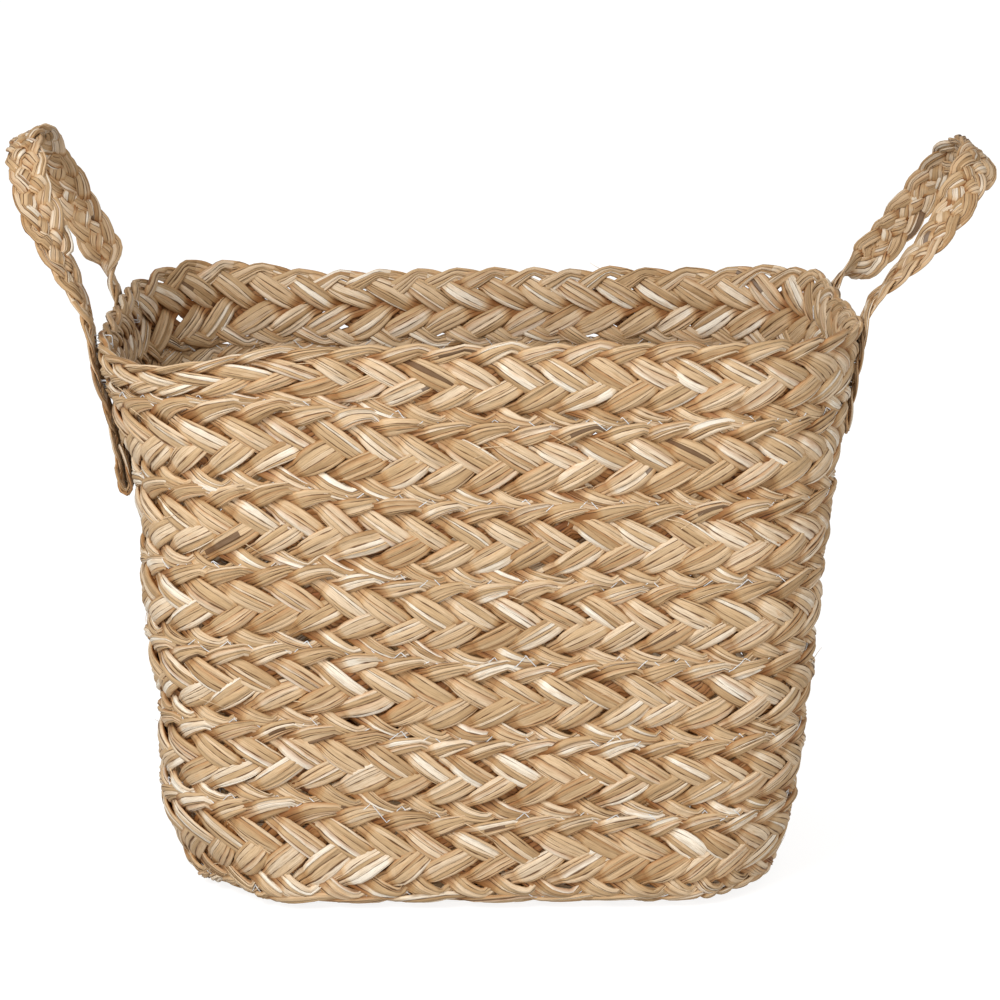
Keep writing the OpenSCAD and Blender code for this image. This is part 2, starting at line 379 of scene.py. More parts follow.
def closed_plait(name, plait, length, layout, seed, material):
    """A plait that closes on itself: one strand that goes round as often as there are strands."""
    pitches = round(length / plait.pitch)
    if pitches % plait.strands == 0:
        pitches += 1
    rng = np.random.default_rng(seed)
    x = np.arange(2 * pitches * plait.strands * RINGS_PER_STEP) / RINGS_PER_STEP
    points, along, q, across, s_top, s_low = flat_strand(plait, rng, x, True)
    fraction = points[..., 0] / (plait.pitch / 2) / (2 * pitches)
    world = layout(fraction % 1, points[..., 1], points[..., 2])
    data = MeshData()
    data.add_strand(world, along, q, across, s_top, s_low, True)
    return data.build(name, material)


def open_plait(name, plait, length, layout, seed, material):
    """A plait with two ends, made of separate strands."""
    rng = np.random.default_rng(seed)
    steps = length / (plait.pitch / 2)
    data = MeshData()
    for k in range(plait.strands):
        ragged = rng.uniform(0, 0.5, 2)
        count = int((steps - ragged.sum()) * RINGS_PER_STEP)
        x = ragged[0] + 2 * k + np.arange(count) / RINGS_PER_STEP
        points, along, q, across, s_top, s_low = flat_strand(plait, rng, x, False)
        u = points[..., 0] - k * plait.pitch
        world = layout(np.clip(u / length, 0, 1), points[..., 1], points[..., 2])
        data.add_strand(world, along, q, across, s_top, s_low, False)
    return data.build(name, material)


# ---------------------------------------------------------------- where the plait lies
def wall_section(run):
    """Middle surface of the wall at a run: radius, height, and the outward direction."""
    turn = np.clip(run / MID_FOOT_R, 0, np.pi / 2)
    z_wall = FOOT_R + run - FOOT_RUN
    r_foot = FOOT_START + MID_FOOT_R * np.sin(turn) + np.minimum(run, 0)
    full = 2.2 * MM * np.sin(2 * turn) ** 2
    r = np.where(run > FOOT_RUN, np.interp(z_wall, WALL_Z, WALL_R), r_foot) + full
    z = np.where(run > FOOT_RUN, z_wall, FOOT_R - MID_FOOT_R * np.cos(turn)) - full
    return r, z, np.sin(turn), -np.cos(turn)


def around(fraction, corner_x, corner_y, r_ref):
    """A place on a rounded rectangle: where its radius starts, its direction, and the whole length."""
    arc = r_ref * np.pi / 2
    sides = [2 * corner_x, arc, 2 * corner_y, arc] * 2
    starts = np.concatenate([[0], np.cumsum(sides)])
    s = fraction * starts[-1]
    base_x, base_y, angle = np.zeros_like(s), np.zeros_like(s), np.zeros_like(s)
    corners = [(-corner_x, -corner_y), (corner_x, -corner_y),
               (corner_x, corner_y), (-corner_x, corner_y)]
    for i in range(8):
        here = (s >= starts[i]) & (s <= starts[i + 1])
        t = (s[here] - starts[i]) / sides[i]
        a, b = corners[(i // 2 + (i % 2)) % 4], corners[(i // 2 + 1) % 4]
        base_x[here] = a[0] + (b[0] - a[0]) * t
        base_y[here] = a[1] + (b[1] - a[1]) * t
        angle[here] = np.pi / 2 * (i // 2 - 1 + (t if i % 2 else 0))
    return base_x, base_y, np.cos(angle), np.sin(angle), starts[-1]


def rim_hump(x, y, at_x, at_y, wide_x, wide_y):
    """A smooth hump round one place of the rim; its place and widths are in millimetres."""
    return np.exp(-np.hypot((x - at_x * MM) / (wide_x * MM), (y - at_y * MM) / (wide_y * MM)) ** 2)


def seam_run(number, x, y):
    """Run of the seam above a course.

    The plait's end tapers out at the rim's front left corner, so there the rim droops and the
    seams below it climb. The rim's two back corners stand a little high.
    """
    front = smoothstep(0.5 - y / (2 * CORNER_Y))
    if number == 0:
        shift = 0
    elif number == COURSES:
        raised = 5.5 * MM * rim_hump(x, y, -140, 115, 40, 50) + 5 * MM * rim_hump(x, y, 165, 90, 32, 60)
        shift = raised - 1.6 * MM - 11 * MM * rim_hump(x, y, -150, -105, 45, 90)
    else:
        most = 10.5 * MM if number == COURSES - 1 else 9 * MM
        shift = most * smoothstep((-x - 5 * MM) / (90 * MM)) * front
        shift = shift * (1 - 0.25 * smoothstep((-x - 105 * MM) / (60 * MM)))
    return FIRST_RUN + number * COURSE_W + shift


def rest_on_floor(p):
    """Presses what is lowest flatter, so that nothing reaches below the floor."""
    soft = 0.8 * MM
    z = p[..., 2:]
    pressed = soft * np.exp((np.minimum(z, soft) - soft) / soft)
    return np.concatenate([p[..., :2], np.where(z < soft, pressed, z)], -1)


# How far the left end wall is drawn in: depth, height and spread of each stretch, in mm. A
# negative depth pushes it out.
LEFT_END_SAGS = [(3.5, 195, 42), (2, 93, 16), (-3.3, 46, 18), (-3.4, 248, 30)]


def lower_corners(x, y, z):
    """How the lower corners are drawn in and lifted, more on the left than on the right."""
    left = x < 0
    at_end = smoothstep((np.abs(x) - 80 * MM) / (60 * MM))
    low = smoothstep(1 - z / (85 * MM)) * (at_end * smoothstep((np.abs(y) - 35 * MM) / (50 * MM)))
    toward = at_end * smoothstep((np.abs(y) - 5 * MM) / (45 * MM))
    pinch = 6 * MM * toward * bell(z, 5 * MM, 25 * MM)
    inward_x = np.where(left, 9, 7.5) * MM * low + pinch
    inward_y = np.where(left, 8, 4) * MM * low
    lift = np.where(left, 4.5, 1.5) * MM * low ** 3 * smoothstep(1 - z / (40 * MM))
    return np.stack([-np.sign(x) * inward_x, -np.sign(y) * inward_y, lift], -1)


def settle(p):
    """Moves points of the basket by the soft wall's own sags and bulges."""
    x, y, z = p[..., 0], p[..., 1], p[..., 2]
    up = np.clip(z / RIM_Z, 0, 1.1)
    shift = np.zeros_like(p)
    bulge = (np.sin(x * 23 + 1.3) * np.sin(z * 31 + 0.4) + 0.7 * np.sin(x * 41 + z * 17 + 2.0))
    shift[..., 1] = np.sign(y) * smoothstep(np.abs(y) / CORNER_Y) * bulge * 0.9 * MM * up
    end = np.sin(y * 37 + z * 29 + 0.8) * 0.9 * MM * up
    waist = sum(depth * MM * bell(z, height * MM, spread * MM)
                for depth, height, spread in LEFT_END_SAGS)
    waist = waist * (x < 0)
    past = smoothstep(np.abs(x) / CORNER_X - 0.3)
    shift[..., 0] = np.sign(x) * past * (end - waist)
    shift += lower_corners(x, y, z)
    return rest_on_floor(p + shift)


def course_layout(number):
    """Carries a plait round the wall, between the seams below and above a course."""
    r_mid = wall_section(np.array(FIRST_RUN + (number - 0.5) * COURSE_W))[0]

    def layout(fraction, v, w):
        bx, by, ex, ey, _ = around(fraction, CORNER_X, CORNER_Y, float(r_mid))
        x, y = bx + r_mid * ex, by + r_mid * ey
        low, high = seam_run(number - 1, x, y), seam_run(number, x, y)
        run = low + (v / COURSE_W + 0.5) * (high - low)
        tilt = 0.6 * MM * v / (COURSE_W / 2)
        w = w - 0.6 * MM + (np.maximum(tilt, 0) if number == 1 else tilt)
        r, z, nr, nz = wall_section(run)
        rr = r + w * nr
        return settle(np.stack([bx + rr * ex, by + rr * ey, z + w * nz], -1))

    return layout, around(np.zeros(1), CORNER_X, CORNER_Y, float(r_mid))[4]


def base_turn_layout(number):
    """Carries a plait round the flat base; the second turn fans out and climbs the foot."""
    inner = CORE_R + (number - 1) * BASE_TURN_W
    r_ref = inner + BASE_TURN_W / 2

    def layout(fraction, v, w):
        t = v / COURSE_W + 0.5
        if number == 1:
            bx, by, ex, ey, _ = around(fraction, CORE_X, CORE_Y, r_ref)
            r = inner + t * BASE_TURN_W
            return rest_on_floor(np.stack([bx + r * ex, by + r * ey, PLAIT_T / 2 - w], -1))
        mix = smoothstep(t)
        ax, ay, ex, ey, _ = around(fraction, CORE_X, CORE_Y, r_ref)
        scale_x, scale_y = CORNER_X / CORE_X, CORNER_Y / CORE_Y
        bx, by = ax * (1 + (scale_x - 1) * mix), ay * (1 + (scale_y - 1) * mix)
        start_y = CORE_HALF_Y + BASE_TURN_W
        run = start_y - CORNER_Y - FOOT_START + t * (FIRST_RUN - start_y + CORNER_Y + FOOT_START)
        r, z, nr, nz = wall_section(run)
        centre = CORE_Y + (CORNER_Y - CORE_Y) * mix
        rr = r + CORNER_Y - centre + w * nr
        return settle(np.stack([bx + rr * ex, by + rr * ey, z + w * nz], -1))

    return layout, around(np.zeros(1), CORE_X, CORE_Y, r_ref)[4]


def core_layout(fraction, v, w):
    """Carries a plait along the straight start of the base."""
    x = (fraction - 0.5) * 2 * CORE_HALF_X
    return rest_on_floor(np.stack([x, v, PLAIT_T / 2 - w], -1))


# ---------------------------------------------------------------- handle straps
def arch_points(side, count):
    """Middle line of a loop in its own plane: across and up, from one leg to the other."""
    turn = np.linspace(0, np.pi, count)
    c, s = np.cos(turn), np.clip(np.sin(turn), 0, 1)
    return np.stack([-LEG_SPAN / 2 * np.sign(c) * np.abs(c) ** (2 / ARCH_POWER),
                     LOOP_H[side] * s ** (2 / ARCH_POWER)], -1)


def tail_line(side):
    """Middle line of a tail in its own plane: outward and up, from its lower end to the top.

    The left tails are folded up behind themselves at their lower ends, the right ones are not.
    """
    t = TAIL_T[side]
    end = TAIL_END_Z[side] + 4 * MM

    def wall(z):
        return CORNER_X + np.interp(z, WALL_Z, WALL_R) + PLAIT_T / 2 - TAIL_SUNK

    tucked, bend = [], []
    if side == "left":
        tucked = [(wall(z) + t / 2, z) for z in np.linspace(end + 26 * MM, end + 2 * MM, 12)]
        centre = wall(end) + t
        bend = [(centre - t / 2 * math.cos(a), end - t / 2 * math.sin(a))
                for a in np.linspace(0.3, math.pi - 0.3, 8)]
    rise = []
    for z in np.linspace(end, HINGE_Z - 6 * MM, 40):
        lift = 0
        if side == "left":
            lift = t * (1 - smoothstep((z - end - 6 * MM) / (34 * MM)))
            lift += 1.1 * MM * smoothstep((z - end - 10 * MM) / (35 * MM))
        rise.append((wall(min(z, RIM_Z)) + t / 2 + float(lift), z))
    return np.array(tucked + bend + rise)


def resample(points, step):
    """Points a fixed step apart along a line."""
    gaps = np.linalg.norm(np.diff(points, axis=0), axis=1)
    s = np.concatenate([[0], np.cumsum(gaps)])
    at = np.linspace(0, s[-1], max(2, round(s[-1] / step)))
    return np.stack([np.interp(at, s, points[:, i]) for i in range(points.shape[1])], -1)


def soften(values, width):
    """Moving average along a line, with its ends kept."""
    kernel = np.ones(width) / width
    padded = np.concatenate([np.repeat(values[:1], width // 2, 0), values,
                             np.repeat(values[-1:], width // 2, 0)])
    return np.stack([np.convolve(padded[:, i], kernel, "valid") for i in range(values.shape[1])], -1)


def loop_path(side):
    """Middle line of a loop above the hinge line, and the way its face looks.

    The face turns a quarter up each leg, sooner up the back one, and the whole loop leans out.
    """
    arch = resample(arch_points(side, ARCH_COUNT), PATH_STEP)
    up = arch[:, 1]
    share = up / LOOP_H[side]
    at_back = arch[:, 0] * (1 if side == "right" else -1) > 0
    q = share ** TWIST[side] * np.pi / 2
    q = np.where(at_back, np.maximum(q, smoothstep(up / BACK_TWIST_RISE) * np.pi / 2), q)
    along = unit(np.gradient(arch, axis=0))
    normal = np.stack([-along[:, 1], along[:, 0]], -1)
    face = np.stack([np.cos(q), -np.sin(q) * normal[:, 0], -np.sin(q) * normal[:, 1]], -1)
    bend = CURL[side] * share ** 3 + BOW[side] * np.sin(np.pi * share)
    bend = bend + at_back * BACK_SHIFT[side] * smoothstep(up / BACK_SHIFT_RISE) * (1 - smoothstep(share))
    loop = np.stack([bend, arch[:, 0], arch[:, 1]], -1)
    cos, sin = math.cos(LEAN[side]), math.sin(LEAN[side])
    turn = np.array([[cos, 0, sin], [0, 1, 0], [-sin, 0, cos]])
    return loop @ turn.T + [HINGE_X + LOOP_SHIFT[side], 0, HINGE_Z], face @ turn.T


def strap_path(side):
    """Middle line of a whole strap, and the way its face looks, in the basket's own frame."""
    loop, face = loop_path(side)
    tail = resample(tail_line(side), PATH_STEP)
    step = unit(np.gradient(tail, axis=0))
    tail_face = np.stack([step[:, 1], np.zeros(len(tail)), -step[:, 0]], -1)
    front = np.stack([tail[:, 0], np.full(len(tail), -LEG_SPAN / 2), tail[:, 1]], -1)
    back = front[::-1] * [1, -1, 1]
    path = np.concatenate([front, loop, back])
    faces = np.concatenate([tail_face, face, tail_face[::-1]])
    sign = 1 if side == "right" else -1
    path, faces = path * [sign, sign, 1], faces * [sign, sign, 1]
    path = np.where(path[:, 2:] < HINGE_Z - 3 * MM, settle(path), path)
    return soften(path, 9), unit(soften(faces, 9))


def strap_layout(side):
    """Carries a plait along a whole strap: up one tail, round the loop and down the other."""
    path, faces = strap_path(side)
    gaps = np.linalg.norm(np.diff(path, axis=0), axis=1)
    s = np.concatenate([[0], np.cumsum(gaps)])
    along = unit(np.gradient(path, axis=0))
    faces = unit(faces - along * (faces * along).sum(-1, keepdims=True))
    across = np.cross(faces, along)

    def at(values, where):
        return np.stack([np.interp(where, s, values[:, i]) for i in range(3)], -1)

    def layout(fraction, v, w):
        where = fraction * s[-1]
        flat = smoothstep((np.minimum(where, s[-1] - where) - TAIL_L[side]) / (30 * MM))
        w = w * (0.72 + 0.28 * flat)
        return at(path, where) + at(across, where) * v[..., None] + at(faces, where) * w[..., None]

    return layout, s[-1]


# ---------------------------------------------------------------- threads and loose fibres
TUBE_SIDES = 6


def tube(points, radius):
    """Points and quads of a thin tube along a line; radius may be one value per point."""
    points = np.asarray(points, float)
    along = unit(np.gradient(points, axis=0))
    side = unit(np.cross(along, [0.31, 0.52, 0.79]))
    other = np.cross(along, side)
    turn = np.arange(TUBE_SIDES) / TUBE_SIDES * 2 * np.pi
    radius = np.broadcast_to(radius, len(points))[:, None, None]
    ring = (side[:, None] * np.cos(turn)[None, :, None] + other[:, None] * np.sin(turn)[None, :, None])
    verts = (points[:, None] + ring * radius).reshape(-1, 3)
    quads, _, _ = tube_faces(len(points), TUBE_SIDES, False, 0)
    return verts, quads


def join_tubes(name, tubes, material):
    """One piece made of many thin tubes with closed ends."""
    verts, faces, count = [], [], 0
    for points, quads in tubes:
        verts += points.tolist()
        faces += (quads + count).tolist()
        faces.append((np.arange(TUBE_SIDES)[::-1] + count).tolist())
        faces.append((np.arange(TUBE_SIDES) + count + len(points) - TUBE_SIDES).tolist())
        count += len(points)
    mesh = bpy.data.meshes.new(name)
    mesh.from_pydata(verts, [], faces)
    mesh.polygons.foreach_set("use_smooth", np.ones(len(mesh.polygons), bool))
    mesh.materials.append(material)
    mesh.update()
    obj = bpy.data.objects.new(name, mesh)
    bpy.context.scene.collection.objects.link(obj)
    return obj


# ---------------------------------------------------------------- materials
class Nodes:
    """Short calls for building a material's node tree."""

    def __init__(self, name):
        self.material = bpy.data.materials.new(name)
        self.material.use_nodes = True
        self.tree = self.material.node_tree
        self.shader = self.tree.nodes["Principled BSDF"]

    def new(self, kind, **settings):
        node = self.tree.nodes.new(kind)
        for key, value in settings.items():
            setattr(node, key, value)
        return node

    def plug(self, value, socket):
        if isinstance(value, bpy.types.NodeSocket):
            self.tree.links.new(value, socket)
        else:
            socket.default_value = value

    def math(self, operation, a, b=0.0, c=0.0, clamp=False):
        node = self.new("ShaderNodeMath", operation=operation, use_clamp=clamp)
        for value, socket in zip((a, b, c), node.inputs):
            self.plug(value, socket)
        return node.outputs[0]

    def vector(self, x, y, z):
        node = self.new("ShaderNodeCombineXYZ")
        for value, socket in zip((x, y, z), node.inputs):
            self.plug(value, socket)
        return node.outputs[0]

    def random(self, vector):
        node = self.new("ShaderNodeTexWhiteNoise", noise_dimensions="3D")
        self.plug(vector, node.inputs["Vector"])
        return node.outputs["Value"]

    def noise(self, vector, scale, detail=2.0, rough=0.5):
        node = self.new("ShaderNodeTexNoise")
        self.plug(vector, node.inputs["Vector"])
        node.inputs["Scale"].default_value = scale
        node.inputs["Detail"].default_value = detail
        node.inputs["Roughness"].default_value = rough
        return node.outputs["Fac"]

    def ramp(self, value, stops, smooth=True):
        node = self.new("ShaderNodeValToRGB")
        self.plug(value, node.inputs[0])
        node.color_ramp.interpolation = "EASE" if smooth else "LINEAR"
        elements = node.color_ramp.elements
        while len(elements) < len(stops):
            elements.new(0.5)
        for element, (at, colour) in zip(elements, stops):
            element.position = at
            element.color = (*colour, 1) if len(colour) == 3 else colour
        return node.outputs[0]

    def blend(self, kind, factor, a, b):
        node = self.new("ShaderNodeMix", data_type="RGBA", blend_type=kind)
        self.plug(factor, node.inputs["Factor"])
        for value, socket in ((a, node.inputs[6]), (b, node.inputs[7])):
            self.plug(value if isinstance(value, bpy.types.NodeSocket) else (*value, 1), socket)
        return node.outputs[2]


class Grass:
    """Coordinates of the seagrass: along a strand, across its blades, and each blade's key, with how
    unshaded each place is for the painted shade.
    """

    def __init__(self, n):
        self.n = n
        coords = n.new("ShaderNodeAttribute", attribute_name="strand").outputs["Vector"]
        self.key = n.new("ShaderNodeAttribute", attribute_name="key").outputs["Fac"]
        split = n.new("ShaderNodeSeparateXYZ")
        n.plug(coords, split.inputs[0])
        self.q, self.unshaded = split.outputs[1], split.outputs[2]
        self.blade = n.math("FLOOR", self.q)
        self.across = n.math("SUBTRACT", self.q, self.blade)
        self.long_way = n.math("MULTIPLY", split.outputs[0], 1000.0)

    def grain(self, long_scale, across, key_scale, detail, rough=0.5):
        """Noise that is drawn out along the blades."""
        n = self.n
        place = n.vector(n.math("MULTIPLY", self.long_way, long_scale), across,
                         n.math("MULTIPLY", self.key, key_scale))
        return n.noise(place, 1.0, detail, rough)

    def wide_grain(self, long_scale, times, key_scale, detail, rough=0.5):
        """The same, with times as many changes as there are blades across."""
        return self.grain(long_scale, self.n.math("MULTIPLY", self.q, times), key_scale, detail, rough)


def blade_colours(n, grass):
    """Straw tones from blade to blade, with patches, brown mottle, rusty sides and rare stains."""
    tone = n.random(n.vector(n.math("ADD", grass.blade, 0.37), n.math("MULTIPLY", grass.key, 1.37), 0.5))
    tint = n.random(n.vector(n.math("ADD", grass.blade, 7.7), n.math("MULTIPLY", grass.key, 0.73), 3.1))
    patches = grass.grain(0.045, grass.blade, 0.71, 2.0)
    mixed = n.math("MULTIPLY_ADD", patches, 0.5, n.math("MULTIPLY", tone, 0.9))
    mixed = n.math("SUBTRACT", mixed, 0.16)
    colour = n.ramp(mixed, [(0.0, (0.37, 0.225, 0.105)), (0.25, (0.53, 0.36, 0.195)),
                            (0.55, (0.635, 0.455, 0.275)), (0.8, (0.72, 0.565, 0.395)),
                            (1.0, (0.85, 0.77, 0.65))])
    mottle = n.ramp(grass.wide_grain(0.11, 1.6, 2.9, 2.0), [(0.54, (0, 0, 0)), (0.72, (0.5, 0.5, 0.5))])
    colour = n.blend("MIX", mottle, colour, (0.58, 0.35, 0.17))
    side = n.math("SMOOTH_MAX", n.math("MULTIPLY_ADD", grass.across, 1.6, -0.5), 0.0, 0.1, clamp=True)
    rusty = n.math("MULTIPLY", n.math("GREATER_THAN", tint, 0.76), side)
    rusty = n.math("MULTIPLY", rusty, n.math("MULTIPLY", patches, 1.2))
    colour = n.blend("MIX", rusty, colour, (0.42, 0.2, 0.07))
    stained = n.math("MULTIPLY", n.math("LESS_THAN", tint, 0.015), n.math("GREATER_THAN", patches, 0.5))
    return n.blend("MIX", n.math("MULTIPLY", stained, 0.8), colour, (0.1, 0.045, 0.02))


def blade_creases_and_shade(n, grass):
    """How deep in the creases between two blades a place is; the creases come and go. The mask sets both
    the dip of the creases in the bump and the painted shade in them.
    """
    edge = n.math("ABSOLUTE", n.math("MULTIPLY_ADD", grass.across, 2.0, -1.0))
    wide = grass.grain(0.12, n.math("ROUND", grass.q), 0.91, 1.0)
    crease_and_shade = n.new("ShaderNodeMapRange", interpolation_type="SMOOTHSTEP")
    n.plug(edge, crease_and_shade.inputs["Value"])
    n.plug(n.math("MULTIPLY_ADD", n.math("MULTIPLY", wide, wide), -0.85, 1.0), crease_and_shade.inputs["From Min"])
    n.plug(n.math("MULTIPLY_ADD", wide, -0.1, 1.05), crease_and_shade.inputs["From Max"])
    return n.math("MULTIPLY", crease_and_shade.outputs[0], n.math("MULTIPLY_ADD", wide, 1.9, -0.1, clamp=True))


def seagrass_material(name, shade):
    """Dry seagrass: each blade has its own tone, with fibres, creases and brown edges. Shade is painted
    dark into the creases and tucked places, and the shade colour darkens a whole copy.
    """
    n = Nodes(name)
    grass = Grass(n)
    fibres = grass.wide_grain(0.06, 7.0, 1.9, 3.0, 0.65)
    fine = grass.wide_grain(0.22, 22.0, 2.3, 2.0, 0.6)
    crease_and_shade = blade_creases_and_shade(n, grass)

    colour = blade_colours(n, grass)
    streak = n.ramp(fibres, [(0.3, (0.66, 0.60, 0.52)), (0.5, (1, 1, 1)), (0.72, (1.1, 1.1, 1.1))])
    colour = n.blend("MULTIPLY", 0.9, colour, streak)
    streak = n.ramp(fine, [(0.3, (0.8, 0.76, 0.7)), (0.6, (1.04, 1.04, 1.04))])
    colour = n.blend("MULTIPLY", 0.9, colour, streak)
    # Painted shade: the creases between blades are painted dark brown, for the shade that falls in them.
    colour = n.blend("MIX", crease_and_shade, colour, (0.11, 0.045, 0.012))
    # Painted shade: brown darkening where a strand lies tucked under others and towards its edges, where
    # shade falls.
    tucked = n.ramp(grass.unshaded, [(0.0, (0.5, 0.3, 0.15)), (0.45, (0.9, 0.8, 0.67)),
                                     (0.9, (1, 1, 1))])
    colour = n.blend("MULTIPLY", 1.0, colour, tucked)
    # Painted shade: the shade colour darkens a whole copy of the material, as for the handles.
    colour = n.blend("MULTIPLY", 1.0, colour, shade)
    n.plug(colour, n.shader.inputs["Base Color"])
    n.plug(n.math("MULTIPLY_ADD", fibres, 0.3, 0.42), n.shader.inputs["Roughness"])
    n.shader.inputs["Specular IOR Level"].default_value = 0.28

    height = n.math("MULTIPLY_ADD", fibres, 0.9, n.math("MULTIPLY", fine, 0.35))
    height = n.math("SUBTRACT", height, n.math("MULTIPLY", crease_and_shade, 0.9))
    bump = n.new("ShaderNodeBump")
    bump.inputs["Strength"].default_value = 0.55
    bump.inputs["Distance"].default_value = 0.35 * MM
    n.plug(height, bump.inputs["Height"])
    n.plug(bump.outputs[0], n.shader.inputs["Normal"])
    return n.material


def nylon_material():
    """Clear-white sewing thread."""
    n = Nodes("nylon_thread")
    where = n.new("ShaderNodeTexCoord").outputs["Object"]
    twist = n.noise(where, 900.0, 1.0)
    n.plug(n.ramp(twist, [(0.3, (0.62, 0.64, 0.66)), (0.7, (0.80, 0.82, 0.83))]),
           n.shader.inputs["Base Color"])
    n.shader.inputs["Roughness"].default_value = 0.28
    n.shader.inputs["Specular IOR Level"].default_value = 0.6
    return n.material


def plain_material(name, colour, rough):
    """One colour with a slight grain."""
    n = Nodes(name)
    grain = n.noise(n.new("ShaderNodeTexCoord").outputs["Object"], 90.0, 1.0)
    low = tuple(c * 0.75 for c in colour)
    high = tuple(c * 1.15 for c in colour)
    n.plug(n.ramp(grain, [(0.3, low), (0.7, high)]), n.shader.inputs["Base Color"])
    n.shader.inputs["Roughness"].default_value = rough
    return n.material


WALL_GRASS = seagrass_material("seagrass_wall", (1.0, 1.0, 1.0))
# Painted shade: the handles use a darker copy of the wall's material.
STRAP_GRASS_SHADED = seagrass_material("seagrass_handle", (0.90, 0.88, 0.86))
NYLON = nylon_material()
FIBRE = plain_material("seagrass_fibre", (0.66, 0.48, 0.29), 0.6)


# ---------------------------------------------------------------- the pieces
def finish_piece(piece, nodes, body="root"):
    """Puts a piece on its body, in the place of its CAD nodes."""
    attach(piece, body)
    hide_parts(*nodes)


def make_wall():
    for number in range(1, COURSES + 1):
        layout, length = course_layout(number)
        piece = closed_plait(f"course_{number}_plait", WALL_PLAIT, length, layout,
                             100 + number, WALL_GRASS)
        finish_piece(piece, [f"wall_course_{number}"])


def make_base():
    core = open_plait("core_plait", WALL_PLAIT, 2 * CORE_HALF_X, core_layout, 90, WALL_GRASS)
    finish_piece(core, ["base_core"])
    for number in (1, 2):
        layout, length = base_turn_layout(number)
        piece = closed_plait(f"base_turn_{number}_plait", WALL_PLAIT, length, layout,
                             90 + number, WALL_GRASS)
        finish_piece(piece, [f"base_turn_{number}"])


def make_handle(side):
    layout, length = strap_layout(side)
    seed = {"left": 201, "right": 202}[side]
    strap = open_plait(f"handle_{side}_strap", STRAP_PLAIT, length, layout, seed, STRAP_GRASS_SHADED)
    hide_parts(f"handle_{side}_loop", f"handle_{side}_front_tail", f"handle_{side}_back_tail")
    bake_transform(strap)


def zigzag(layout, length, at_edge, seed):
    """Zigzag sewing along one seam, just under both faces of the plait."""
    stitches = round(length / (7 * MM))
    rng = np.random.default_rng(seed)
    count = stitches * 4
    t = np.arange(count + 1) / 4
    swing = np.abs((t / 2 % 1) * 4 - 2) - 1
    v = at_edge + swing * 3.0 * MM + wavy(rng, count + 1, 3, 0.5 * MM, False)
    tubes = []
    for face in (1, -1):
        deep = 0.4 * MM + 0.9 * MM * (1 - swing ** 2)
        w = face * (deep + wavy(rng, count + 1, 5, 0.45 * MM, False))
        tubes.append(tube(layout(t / (count / 4) * 0.9999, v, w), 0.2 * MM))
    return tubes


def tail_stitches(side, leg):
    """Hand stitches through one tail and the wall: two groups of crossing loops of thread."""
    rng = np.random.default_rng(400 + 2 * (side == "left") + (leg > 0))
    sign = 1 if side == "right" else -1
    tubes = []
    for height in (RIM_Z - 14 * MM, RIM_Z - 31 * MM):
        for _ in range(5):
            y = sign * leg * LEG_SPAN / 2 + rng.uniform(-4, 4) * MM
            z = height + rng.uniform(-4, 4) * MM
            y2, z2 = y + rng.uniform(-3, 3) * MM, z + rng.uniform(-5, 5) * MM
            mid = CORNER_X + np.interp([z, z2], WALL_Z, WALL_R)
            inner, outer = mid - 3.3 * MM, mid + (5.9 if side == "left" else 4.6) * MM
            corners = [(inner[0], y, z), (inner[1] - 0.3 * MM, y2, z2), (outer[1], y2, z2),
                       (outer[0], (y + y2) / 2, (z + z2) / 2), (inner[0], y, z)]
            path = soften(resample(np.array(corners), 0.8 * MM), 3)
            tubes.append(tube(settle(path * [sign, sign, 1]), 0.22 * MM))
    return tubes


def make_threads():
    for number in range(COURSES):
        node = "foot_seam" if number == 0 else f"wall_seam_{number}"
        layout, length = course_layout(max(number, 1))
        at_edge = COURSE_W / 2 if number >= 1 else -COURSE_W / 2
        piece = join_tubes(f"{node}_thread", zigzag(layout, length, at_edge, 300 + number), NYLON)
        finish_piece(piece, [node])
    layout, length = base_turn_layout(1)
    for number, at_edge in ((1, -COURSE_W / 2), (2, COURSE_W / 2)):
        piece = join_tubes(f"base_seam_{number}_thread",
                           zigzag(layout, length, at_edge, 310 + number), NYLON)
        finish_piece(piece, [f"base_seam_{number}"])
    for side in ("left", "right"):
        for leg, name in ((-1, "front"), (1, "back")):
            node = f"handle_{side}_{name}_stitches"
            piece = join_tubes(f"{node}_thread", tail_stitches(side, leg), NYLON)
            finish_piece(piece, [node])


def make_loose_fibres():
    """Frayed tips and loose fibres that stand off the walls here and there."""
    rng = np.random.default_rng(500)
    tubes = []
    for _ in range(150):
        number = int(rng.integers(1, COURSES + 1))
        layout, length = course_layout(number)
        at, bend = rng.uniform(0, 1), rng.uniform(-1, 1, 3)
        v0 = rng.uniform(-0.5, 0.5) * COURSE_W
        slope = math.radians(rng.choice([-1, 1]) * rng.uniform(5, 40))
        size = rng.uniform(6, 20) * MM
        t = np.linspace(0, 1, 9)
        run = size * (t * math.cos(slope) + 0.15 * bend[0] * t ** 2)
        v = v0 + size * (t * math.sin(slope) + 0.2 * bend[1] * t ** 2)
        w = 2.2 * MM + (0.6 + 1.6 * abs(bend[2])) * MM * t + rng.uniform(0, 2.4) * MM * t ** 3
        points = layout((at + run / length) % 1, v, w)
        tubes.append(tube(points, 0.26 * MM * (1 - 0.75 * t)))
    piece = join_tubes("loose_fibres", tubes, FIBRE)
    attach(piece, "root")


make_wall()
make_base()
make_handle("left")
make_handle("right")
make_threads()
make_loose_fibres()


# ---------------------------------------------------------------- floor, light and camera
CAMERA_PLACE = (-0.0116, -1.315, 0.4666)
CAMERA_DOWN, CAMERA_YAW = 12.53, -0.91             # degrees
CAMERA_LENS, CAMERA_SENSOR = 100.8, 36             # millimetres
LIT_HEIGHT = 0.15                                  # the lights point at the axis, this high up


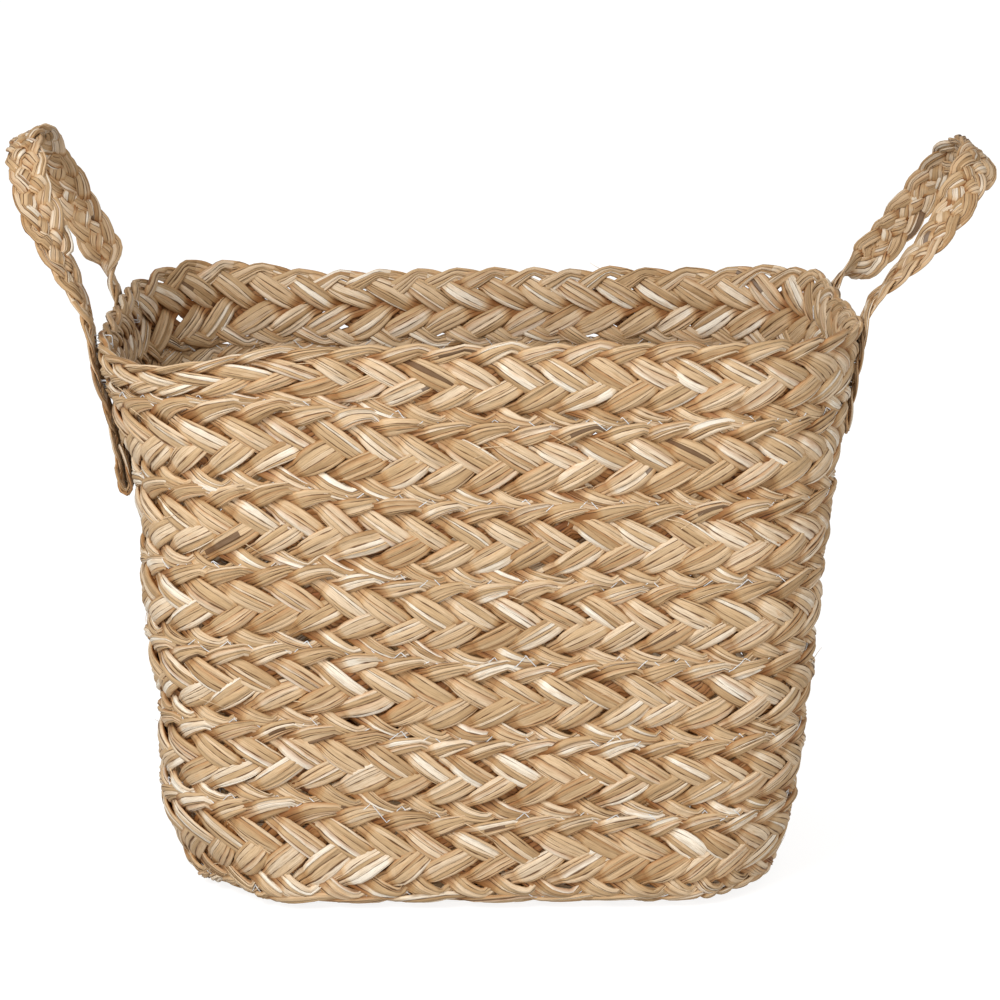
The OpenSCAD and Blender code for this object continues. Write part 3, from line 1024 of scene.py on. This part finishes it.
def floor_material():
    """White floor that glows a little, so that only the contact shadow shows on it."""
    n = Nodes("floor_white")
    n.shader.inputs["Base Color"].default_value = (0.3, 0.3, 0.3, 1)
    n.shader.inputs["Roughness"].default_value = 1.0
    n.shader.inputs["Emission Color"].default_value = (1, 1, 1, 1)
    seen = n.new("ShaderNodeLightPath").outputs["Is Camera Ray"]
    n.plug(n.math("MULTIPLY_ADD", seen, 0.54, 0.3), n.shader.inputs["Emission Strength"])
    return n.material


def make_floor():
    bpy.ops.mesh.primitive_plane_add(size=400, location=(0, 0, -0.0005))
    floor = bpy.context.object
    floor.name = "floor"
    floor.data.materials.append(floor_material())


def make_world():
    """White surroundings, brighter to the camera than to the basket."""
    world = bpy.data.worlds.new("studio")
    bpy.context.scene.world = world
    world.use_nodes = True
    tree = world.node_tree
    background = tree.nodes["Background"]
    seen = tree.nodes.new("ShaderNodeLightPath").outputs["Is Camera Ray"]
    strength = tree.nodes.new("ShaderNodeMapRange")
    tree.links.new(seen, strength.inputs["Value"])
    strength.inputs["To Min"].default_value = 0.62
    strength.inputs["To Max"].default_value = 1.05
    background.inputs["Color"].default_value = (1, 1, 1, 1)
    tree.links.new(strength.outputs[0], background.inputs["Strength"])


def area_light(name, azimuth, height, distance, size, power):
    """Soft square light from an azimuth (0 is the front, 90 the right) and a height, in degrees."""
    light = bpy.data.lights.new(name, "AREA")
    light.size = size
    light.energy = power
    obj = bpy.data.objects.new(name, light)
    obj.rotation_euler = (math.radians(90 - height), 0, math.radians(azimuth))
    toward = obj.rotation_euler.to_matrix().col[2]
    obj.location = toward * distance + Vector((0, 0, LIT_HEIGHT))
    obj.visible_camera = False
    bpy.context.scene.collection.objects.link(obj)


def make_camera():
    camera = bpy.data.cameras.new("camera")
    camera.sensor_width = CAMERA_SENSOR
    camera.lens = CAMERA_LENS
    camera.clip_start = 0.01
    obj = bpy.data.objects.new("camera", camera)
    obj.location = CAMERA_PLACE
    obj.rotation_euler = (math.radians(90 - CAMERA_DOWN), 0, math.radians(CAMERA_YAW))
    bpy.context.scene.collection.objects.link(obj)
    bpy.context.scene.camera = obj


make_floor()
make_world()
area_light("key", -31, 34, 1.5, 0.5, 13.6)
area_light("fill", 14, 5, 2.0, 0.8, 11.5)
make_camera()
bpy.context.scene.view_settings.view_transform = "Standard"
